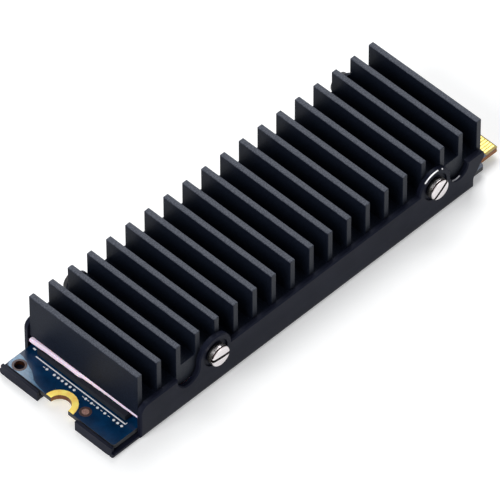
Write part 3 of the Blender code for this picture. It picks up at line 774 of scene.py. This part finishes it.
def cut_with(item, cutter):
    """The mesh of an item with a cutter taken away from it."""
    change = item.modifiers.new("cut", "BOOLEAN")
    change.operation = "DIFFERENCE"
    change.solver = "EXACT"
    change.object = cutter
    bpy.context.view_layer.update()
    mesh = bpy.data.meshes.new_from_object(item.evaluated_get(bpy.context.evaluated_depsgraph_get()))
    bpy.data.objects.remove(item)
    bpy.data.objects.remove(cutter)
    return mesh


def slotted_mesh(head_height, shank_length):
    """The screw with its driver slot cut across the head."""
    profile = screw_profile(head_height, shank_length)
    blank = bpy.data.objects.new("blank", turned_mesh("blank", profile, SCREW_STEPS))
    shape = bmesh.new()
    reach = 2 * HEAD_RADIUS
    outline = rectangle(-reach, reach, -SLOT_WIDTH / 2, SLOT_WIDTH / 2)
    add_prism(shape, outline, head_height - SLOT_DEPTH, 2 * head_height)
    cutter = bpy.data.objects.new("slot", finished_mesh("slot", shape))
    for item in (blank, cutter):
        bpy.context.scene.collection.objects.link(item)
    return cut_with(blank, cutter)


def screw_zone(polygon, near, head_height, turn):
    """The material of a screw's face, before the screw is turned and put in its place.

    The crown is bright, and the slot is dark with oil and oxide and painted shade. The near screws have
    painted shade on top of the band under the crown, a painted highlight on top of their sides with
    painted shade on the rest, and painted shadow round their foot. The far screws have painted shadow
    from the crown down.
    """
    place = polygon.center
    radius = math.hypot(place.x, place.y)
    angle = (math.degrees(math.atan2(place.y, place.x)) + turn) % 360
    rim = head_height - HEAD_CROWN - HEAD_ROUNDING
    crown = rim + HEAD_ROUNDING * CROWN_SHARE
    over_floor = place.z > head_height - SLOT_DEPTH - SLOT_WEAR
    under_crown = place.z < head_height - HEAD_CROWN - SLOT_WEAR
    if abs(place.y) < SLOT_WIDTH / 2 + SLOT_WEAR and under_crown and over_floor:
        return STAIN_AND_SHADE
    if place.z < (COLLAR_HEIGHT if near else crown):
        return PAINTED_SHADOW
    if radius < HEAD_RADIUS - HEAD_ROUNDING or place.z > crown:
        return BRIGHT
    if place.z > rim - RIM_SHADE_DEPTH:
        return STAIN_AND_SHADE if TOP_SHADE_ARC[0] < angle < TOP_SHADE_ARC[1] else BRIGHT
    return BRIGHT if HIGHLIGHT_ARC[0] < angle < HIGHLIGHT_ARC[1] else SIDE_SHADE


def make_screws():
    """The four screws, each on its own axis and turned to where its slot stopped."""
    # Darker copies of the nickel: stain with painted shade, painted shadow at the foot, painted shade
    # on the sides
    stained_shaded = stained_shaded_nickel("stained_shaded_nickel", (0.012, 0.008, 0.009), (0.040, 0.027, 0.027), 0.42)
    collar_shadow = stained_shaded_nickel("collar_shadow_nickel", (0.020, 0.020, 0.022), (0.050, 0.050, 0.054), 0.40)
    shaded_side = stained_shaded_nickel("shaded_side_nickel", (0.090, 0.086, 0.080), (0.200, 0.190, 0.180), 0.40)
    for node, (turn, head_height) in SCREWS.items():
        low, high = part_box(node)
        near = "near" in node
        outward = -1 if near else 1
        seat = low.y + HEAD_SEAT_DEPTH if near else high.y - HEAD_SEAT_DEPTH
        center = Vector(((low.x + high.x) / 2, seat, (low.z + high.z) / 2))
        mesh = slotted_mesh(head_height, high.y - low.y - HEAD_SEAT_DEPTH)
        zones = [screw_zone(polygon, near, head_height, turn) for polygon in mesh.polygons]
        turned = Matrix.Rotation(math.radians(turn), 4, "Z")
        tipped = Matrix.Rotation(-outward * math.pi / 2, 4, "X")
        mesh.transform(Matrix.Translation(center) @ tipped @ turned)
        shade_round(mesh, SCREW_SHARP_ANGLE)
        screw = add_piece("slotted_" + node, mesh, bright_nickel(center), stained_shaded, collar_shadow, shaded_side)
        mesh.polygons.foreach_set("material_index", zones)
        soften = screw.modifiers.new("worn edges", "BEVEL")
        soften.width = SLOT_WEAR
        soften.segments = EDGE_SEGMENTS
        soften.limit_method = "ANGLE"
        soften.angle_limit = math.radians(SLOT_WEAR_ANGLE)
        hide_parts(node)


# Board


def board_zone(polygon):
    """The material of a face of the board: raised copper, mask, or one of its upright edges."""
    place = polygon.center
    if place.z > BOARD_TOP + COPPER_SLACK or place.z < BOARD_BOTTOM - COPPER_SLACK:
        return RING if place.x < 0.0 else CONTACT
    if abs(polygon.normal.z) >= UPRIGHT:
        return MASK
    from_notch = math.hypot(place.x - BOARD_FRONT, place.y)
    from_hole = math.hypot(place.x - BOARD_FRONT - TOOLING_HOLE[0], place.y - TOOLING_HOLE[1])
    if from_notch < NOTCH_WALL_REACH or from_hole < HOLE_WALL_REACH:
        return HOLE_WALL
    return TONGUE_EDGE if place.x > BOARD_FRONT + TONGUE_START else SHADED_CORE


def dress_board():
    """Mask on the board's faces, bare layers with painted shade along its edges, gold on contacts and
    round the notch.
    """
    board = nodes["circuit_board"]
    contact_gold = gold_plate("contact_gold", (0.72, 0.57, 0.16), (0.84, 0.71, 0.26), 0.56)
    # The walls of the notch and the tooling hole: dark copper and resin, darkened further as painted
    # shade
    wall_copper_and_shade = gold_plate("wall_copper_and_shade", (0.14, 0.055, 0.03), (0.26, 0.11, 0.055), 0.45)
    ring_gold = gold_plate("ring_gold", (0.96, 0.67, 0.16), (1.00, 0.90, 0.28), 0.72, metallic=0.9)
    paint(board, solder_mask(), shaded_board_core(), contact_gold, wall_copper_and_shade, cut_laminate(), ring_gold)
    for polygon in board.data.polygons:
        polygon.material_index = board_zone(polygon)


def make_bare_tongue():
    """The strip of bare laminate on both faces of the contact end, between and around the contacts."""
    shape = bmesh.new()
    start = BOARD_FRONT + CONTACT_START - BARE_MARGIN
    end = BOARD_FRONT + BOARD_LENGTH - BARE_MARGIN / 2
    half = TONGUE_HALF - BARE_MARGIN / 2
    slot_low = KEY_SLOT_Y - KEY_SLOT_HALF - BARE_MARGIN
    slot_high = KEY_SLOT_Y + KEY_SLOT_HALF + BARE_MARGIN
    for level in (BOARD_TOP, BOARD_BOTTOM):
        for low_y, high_y in ((-half, slot_low), (slot_high, half)):
            outline = rectangle(start, end, low_y, high_y)
            add_prism(shape, outline, level - PRINT_HEIGHT, level + PRINT_HEIGHT)
    add_piece("bare_tongue", finished_mesh("bare_tongue", shape), bare_laminate())


def print_marks():
    """The plain printed line, bars and dots in front of the first chip."""
    low = BOARD_TOP - PRINT_HEIGHT
    high = BOARD_TOP + PRINT_HEIGHT
    shape = bmesh.new()
    line = BOARD_FRONT + PRINT_LINE_X
    start, end = PRINT_LINE_ENDS
    hook_length, hook_width = PRINT_HOOK
    block_x, block_y = PRINT_BLOCK
    add_prism(shape, rectangle(line - PRINT_LINE_HALF, line + PRINT_LINE_HALF, start, end), low, high)
    add_prism(shape, rectangle(line, line + hook_length, start, start + hook_width), low, high)
    add_prism(shape, rectangle(line + block_x[0], line + block_x[1], *block_y), low, high)
    dot_x = BOARD_FRONT + PRINT_DOT_X
    row_start, row_count = PRINT_DOT_ROW
    dots = list(PRINT_LONE_DOTS)
    dots += [row_start - PRINT_DOT_PITCH * step for step in range(row_count)]
    for y in dots:
        add_prism(shape, circle((dot_x, y), PRINT_DOT_RADIUS, DOT_STEPS), low, high)
    half_x, half_y = PRINT_DASH_HALF
    for y in PRINT_DASHES:
        add_prism(shape, rectangle(dot_x - half_x, dot_x + half_x, y - half_y, y + half_y), low, high)
    add_piece("printed_marks", finished_mesh("printed_marks", shape), white_ink())


def make_bare_corner():
    """The paler corner round the tooling hole, where no copper lies under the mask."""
    low = BOARD_TOP - PRINT_HEIGHT
    high = BOARD_TOP + PRINT_HEIGHT / 2
    points = PALE_CORNER_BACK + PALE_CORNER_CURVE
    outline = [(BOARD_FRONT + x * MILLIMETRE, y * MILLIMETRE) for x, y in points]
    shape = bmesh.new()
    add_prism(shape, outline, low, high)
    patch = bpy.data.objects.new("bare_corner", finished_mesh("bare_corner", shape))
    shape = bmesh.new()
    hole = (BOARD_FRONT + TOOLING_HOLE[0], TOOLING_HOLE[1])
    add_prism(shape, circle(hole, HOLE_RIM_RADIUS, HOLE_STEPS), low - MILLIMETRE, high + MILLIMETRE)
    cutter = bpy.data.objects.new("hole", finished_mesh("hole", shape))
    for item in (patch, cutter):
        bpy.context.scene.collection.objects.link(item)
    add_piece("bare_corner", cut_with(patch, cutter), bare_mask())


def make_copper_details():
    """The dark rims round the tooling hole and the round target, and the target's bare copper."""
    low = BOARD_TOP - PRINT_HEIGHT
    high = BOARD_TOP + PRINT_HEIGHT
    shape = bmesh.new()
    hole = (BOARD_FRONT + TOOLING_HOLE[0], TOOLING_HOLE[1])
    section = rectangle(TOOLING_HOLE_RADIUS + RIM_GAP, HOLE_RIM_RADIUS - RIM_GAP, low, high)
    add_ring(shape, hole, section)
    target = (BOARD_FRONT + TARGET[0], TARGET[1])
    section = rectangle(TARGET_RADIUS + TARGET_GAP, TARGET_CLEARING, low, high - PRINT_HEIGHT / 2)
    add_ring(shape, target, section)
    add_piece("resin_rims", finished_mesh("resin_rims", shape), dark_resin())
    shape = bmesh.new()
    add_prism(shape, circle(target, TARGET_RADIUS, TARGET_STEPS), low, high)
    add_piece("round_target", finished_mesh("round_target", shape), pale_copper())


# Chips and small parts


def add_ball(shape, center, radius):
    """Adds a small ball, pressed flat where it meets the chip and the board."""
    made = bmesh.ops.create_icosphere(shape, subdivisions=1, radius=radius)
    for vert in made["verts"]:
        vert.co = Vector((vert.co.x, vert.co.y, vert.co.z * BALL_SQUASH)) + center


def long_axis(low, high):
    """The level axis along which a small part is longer: 0 for X and 1 for Y."""
    return 0 if high.x - low.x > high.y - low.y else 1


def add_fillet(shape, low, high, axis, side):
    """Adds the sloping solder at one end of a small part."""
    other = 1 - axis
    end = high[axis] if side > 0 else low[axis]
    inner = end - side * FILLET_DEPTH
    foot = (BOARD_TOP, FILLET_REACH, FILLET_REACH / 2)
    tip = (low.z + FILLET_RISE, FILLET_TIP, 0.0)
    corners = []
    for level, out, wide in (foot, tip):
        outer = end + side * out
        ring = []
        near = low[other] - wide
        far = high[other] + wide
        for along, across in rectangle(inner, outer, near, far):
            place = [0.0, 0.0, level]
            place[axis] = along
            place[other] = across
            ring.append(shape.verts.new(place))
        corners.append(ring)
    shape.faces.new(corners[0])
    shape.faces.new(corners[1])
    for index in range(4):
        after = (index + 1) % 4
        shape.faces.new((corners[0][index], corners[0][after], corners[1][after], corners[1][index]))


def make_solder():
    """Rows of solder balls under the chips, and solder under both ends of each small part."""
    shape = bmesh.new()
    for node in BALL_CHIPS:
        low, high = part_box(node)
        middle_z = (BOARD_TOP + low.z) / 2
        radius = (low.z - BOARD_TOP) / 2 / BALL_SQUASH
        counts = [int((high[axis] - low[axis] - 2 * BALL_MARGIN) / BALL_PITCH) for axis in (0, 1)]
        start = [(low[axis] + high[axis] - counts[axis] * BALL_PITCH) / 2 for axis in (0, 1)]
        for row in range(counts[0] + 1):
            for column in range(counts[1] + 1):
                place = (start[0] + row * BALL_PITCH, start[1] + column * BALL_PITCH, middle_z)
                add_ball(shape, Vector(place), radius)
    add_piece("solder_balls", finished_mesh("solder_balls", shape), tinned_metal())
    shape = bmesh.new()
    for node in SOLDERED_PARTS:
        low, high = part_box(node)
        for side in (-1, 1):
            add_fillet(shape, low, high, long_axis(low, high), side)
    add_piece("solder_fillets", finished_mesh("solder_fillets", shape), tinned_metal())


def paint_ends(node, body, metal):
    """Metal on both ends of a small part and its own material between them."""
    item = nodes[node]
    paint(item, body, metal)
    low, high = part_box(node)
    axis = long_axis(low, high)
    for polygon in item.data.polygons:
        place = polygon.center[axis]
        if place < low[axis] + TERMINAL_LENGTH or place > high[axis] - TERMINAL_LENGTH:
            polygon.material_index = TERMINAL_SLOT


def dress_parts():
    """The chips and the small parts on the board."""
    epoxy = moulded_black()
    metal = tinned_metal()
    for node in BALL_CHIPS + ("power_chip",):
        paint(nodes[node], epoxy)
    ferrite = ceramic("fired_grey", (0.060, 0.060, 0.065), (0.120, 0.120, 0.125))
    barium = ceramic("fired_tan", (0.320, 0.220, 0.130), (0.480, 0.350, 0.220))
    for name in nodes:
        if name.startswith("capacitor"):
            paint_ends(name, barium, metal)
        if name.startswith("inductor"):
            paint_ends(name, ferrite, metal)
    paint(nodes["crystal"], can_metal())


# Metalwork


def round_edges(item, width):
    """Joins a node's split corners, rounds its edges a little and shades its curves smoothly."""
    mesh = item.data
    if "custom_normal" in mesh.attributes:
        mesh.attributes.remove(mesh.attributes["custom_normal"])
    mesh.polygons.foreach_set("use_smooth", [True] * len(mesh.polygons))
    weld = item.modifiers.new("joined corners", "WELD")
    weld.merge_threshold = JOIN_DISTANCE
    bevel = item.modifiers.new("rounded edges", "BEVEL")
    bevel.width = width
    bevel.segments = EDGE_SEGMENTS
    bevel.limit_method = "ANGLE"
    bevel.angle_limit = math.radians(EDGE_ANGLE)
    bevel.harden_normals = True


def make_painted_glints():
    """Short bright metal strips along the near wall's broken edges: painted highlights, one set bright
    and one dim.
    """
    for name, arcs, dark, light in (
        ("painted_glints", GLINT_ARCS, (0.66, 0.66, 0.69), (0.90, 0.90, 0.92)),
        ("dim_painted_glints", DIM_GLINT_ARCS, (0.10, 0.10, 0.11), (0.22, 0.22, 0.24)),
    ):
        shape = bmesh.new()
        for (center_x, center_z), radius, start, end in arcs:
            outside = 1 if start < 180.0 else -1
            edge = radius + outside * GLINT_WIDTH
            profile = [
                (radius, WALL_FACE - GLINT_WIDTH),
                (edge, WALL_FACE - GLINT_WIDTH),
                (edge + outside * GLINT_PROUD, WALL_FACE - GLINT_WIDTH + GLINT_PROUD),
                (radius + outside * GLINT_PROUD, WALL_FACE + GLINT_PROUD),
            ]
            add_ring(shape, (BOARD_FRONT + center_x, center_z), profile, start, end, ARC_STEPS)
        mesh = finished_mesh(name, shape)
        mesh.transform(Matrix.Rotation(math.pi / 2, 4, "X"))
        add_piece(name, mesh, glint_metal(name, dark, light))


def make_nose_folds(coating):
    """The folded lower sides of the tray's nose, rounded along their outer edge."""
    shape = bmesh.new()
    for side in (-1, 1):
        section = [(NOSE_FOLD_IN, NOSE_FOLD_TOP), (NOSE_FOLD_IN, 0.0)]
        for angle in range(270, 361, ROUNDING_STEP):
            turn = math.radians(angle)
            across = NOSE_FOLD_OUT - NOSE_FOLD_ROUNDING + NOSE_FOLD_ROUNDING * math.cos(turn)
            section.append((across, NOSE_FOLD_ROUNDING + NOSE_FOLD_ROUNDING * math.sin(turn)))
        section.append((NOSE_FOLD_OUT, NOSE_FOLD_TOP))
        section = [(side * across, height) for across, height in section]
        add_prism(shape, section, BOARD_FRONT + NOSE_FOLD_START, BOARD_FRONT + NOSE_FOLD_END)
    for vert in shape.verts:
        across, height, along = vert.co
        vert.co = (along, across, height)
    mesh = finished_mesh("nose_folds", shape)
    shade_round(mesh, NOSE_FOLD_SHARP_ANGLE)
    add_piece("nose_folds", mesh, coating)


def heatsink_zone(polygon, top):
    """The material of a face of the heat sink: a cut end, a fin's tip with its painted highlight, or
    the rest.
    """
    if abs(polygon.normal.y) > SQUARE_ON:
        return SAWN_END
    return LIT_FIN_TIP if polygon.center.z > top - LIT_TIP_DEPTH else SIDE


def dress_metalwork():
    """The heat sink, with its fin tip faces painted lighter as a painted highlight and its sawn ends,
    and the tray.
    """
    heatsink = nodes["heatsink"]
    low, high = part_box("heatsink")
    dark, light = (0.0042, 0.0060, 0.0115), (0.0105, 0.0140, 0.0250)
    sides = anodised_black("anodised_black", dark, light, 0.40, 0.05)
    # A lighter copy of the black for the fins' tip faces: a painted highlight
    dark, light = (0.010, 0.013, 0.022), (0.053, 0.057, 0.074)
    lit_tips = anodised_black("anodised_lit_tips", dark, light, 0.48, 0.26, (0.42, 0.60))
    paint(heatsink, sides, sawn_black(), lit_tips)
    for polygon in heatsink.data.polygons:
        polygon.material_index = heatsink_zone(polygon, high.z)
    round_edges(heatsink, HEATSINK_EDGE)
    tray = nodes["tray"]
    coating = coated_black()
    paint(tray, coating)
    round_edges(tray, TRAY_EDGE)
    make_painted_glints()
    make_nose_folds(coating)


# Floor, lights and camera


def seen_directly(tree):
    """One for rays from the camera, from reflections and through clear materials, or else zero."""
    path = tree.nodes.new("ShaderNodeLightPath")
    seen = path.outputs["Is Camera Ray"]
    for name in ("Is Glossy Ray", "Is Transmission Ray"):
        either = tree.nodes.new("ShaderNodeMath")
        either.operation = "MAXIMUM"
        tree.links.new(seen, either.inputs[0])
        tree.links.new(path.outputs[name], either.inputs[1])
        seen = either.outputs["Value"]
    return seen


def make_floor():
    """A pale floor that shows as white and keeps the module's shadow."""
    bpy.ops.mesh.primitive_plane_add(size=FLOOR_SIZE, location=(0.0, 0.0, -FLOOR_DROP))
    floor = bpy.context.object
    floor.name = "floor"
    look = Look("pale_floor", FLOOR_COLOR, 0.9, specular=0.0)
    grain = look.noise(9.0, detail=2.0)
    look.color_by(grain, tuple(value * FLOOR_MOTTLE for value in FLOOR_COLOR), FLOOR_COLOR)
    look.set("Emission Color", (1.0, 1.0, 1.0, 1.0))
    seen = seen_directly(look.tree)
    glow = look.add("ShaderNodeMath")
    glow.operation = "MULTIPLY"
    glow.inputs[1].default_value = FLOOR_GLOW
    look.link(seen, glow.inputs[0])
    look.link(glow.outputs["Value"], look.shader.inputs["Emission Strength"])
    floor.data.materials.append(look.material)


def make_world():
    """A white surround for the camera and for reflections, and a softer, cooler light for the rest."""
    world = bpy.data.worlds.new("studio")
    world.use_nodes = True
    tree = world.node_tree
    tree.nodes.clear()
    out = tree.nodes.new("ShaderNodeOutputWorld")
    light = tree.nodes.new("ShaderNodeBackground")
    light.inputs["Color"].default_value = (*WORLD_COLOR, 1.0)
    light.inputs["Strength"].default_value = WORLD_STRENGTH
    white = tree.nodes.new("ShaderNodeBackground")
    white.inputs["Color"].default_value = (1.0, 1.0, 1.0, 1.0)
    white.inputs["Strength"].default_value = 1.0
    mix = tree.nodes.new("ShaderNodeMixShader")
    tree.links.new(seen_directly(tree), mix.inputs["Fac"])
    tree.links.new(light.outputs["Background"], mix.inputs[1])
    tree.links.new(white.outputs["Background"], mix.inputs[2])
    tree.links.new(mix.outputs["Shader"], out.inputs["Surface"])
    bpy.context.scene.world = world


def pointing(azimuth, elevation):
    """The direction at an azimuth, from +X towards +Y, and an elevation, both in degrees."""
    turn = math.radians(azimuth)
    rise = math.radians(elevation)
    level = math.cos(rise)
    return Vector((math.cos(turn) * level, math.sin(turn) * level, math.sin(rise)))


def aim(item, place, target):
    """Puts an item at a place and turns its -Z axis to the target."""
    item.location = place
    item.rotation_euler = (target - place).to_track_quat("-Z", "Y").to_euler()


def make_lamps():
    """Large soft lamps round the module."""
    for name, (azimuth, elevation, distance, size, power, color) in LAMPS.items():
        data = bpy.data.lights.new(name, "AREA")
        data.shape = "SQUARE"
        data.size = size
        data.energy = power
        data.color = color
        lamp = bpy.data.objects.new(name, data)
        bpy.context.scene.collection.objects.link(lamp)
        aim(lamp, pointing(azimuth, elevation) * distance, Vector((0.0, 0.0, 0.0)))


def make_camera():
    """The camera, at the photograph's angle."""
    turn = math.radians(CAMERA_AZIMUTH)
    rise = math.radians(CAMERA_ELEVATION)
    roll = math.radians(CAMERA_ROLL)
    back = Vector((math.sin(turn) * math.cos(rise), -math.cos(turn) * math.cos(rise), math.sin(rise)))
    level = Vector((math.cos(turn), math.sin(turn), 0.0))
    upward = back.cross(level)
    right = math.cos(roll) * level + math.sin(roll) * upward
    up = -math.sin(roll) * level + math.cos(roll) * upward
    place = CAMERA_TARGET + CAMERA_DISTANCE * back + CAMERA_SIDE_STEP * right + CAMERA_RISE * up
    data = bpy.data.cameras.new("camera")
    data.lens = CAMERA_LENS
    data.sensor_width = SENSOR_WIDTH
    data.clip_start = CLIP_START
    data.clip_end = CLIP_END
    camera = bpy.data.objects.new("camera", data)
    bpy.context.scene.collection.objects.link(camera)
    camera.matrix_world = Matrix((
        (right.x, up.x, back.x, place.x),
        (right.y, up.y, back.y, place.y),
        (right.z, up.z, back.z, place.z),
        (0.0, 0.0, 0.0, 1.0),
    ))
    bpy.context.scene.camera = camera


# The scene

make_camera()
make_pad()
make_screws()
dress_board()
make_bare_tongue()
print_marks()
make_bare_corner()
make_copper_details()
dress_parts()
make_solder()
dress_metalwork()
make_floor()
make_world()
make_lamps()
bpy.context.scene.view_settings.view_transform = "Standard"
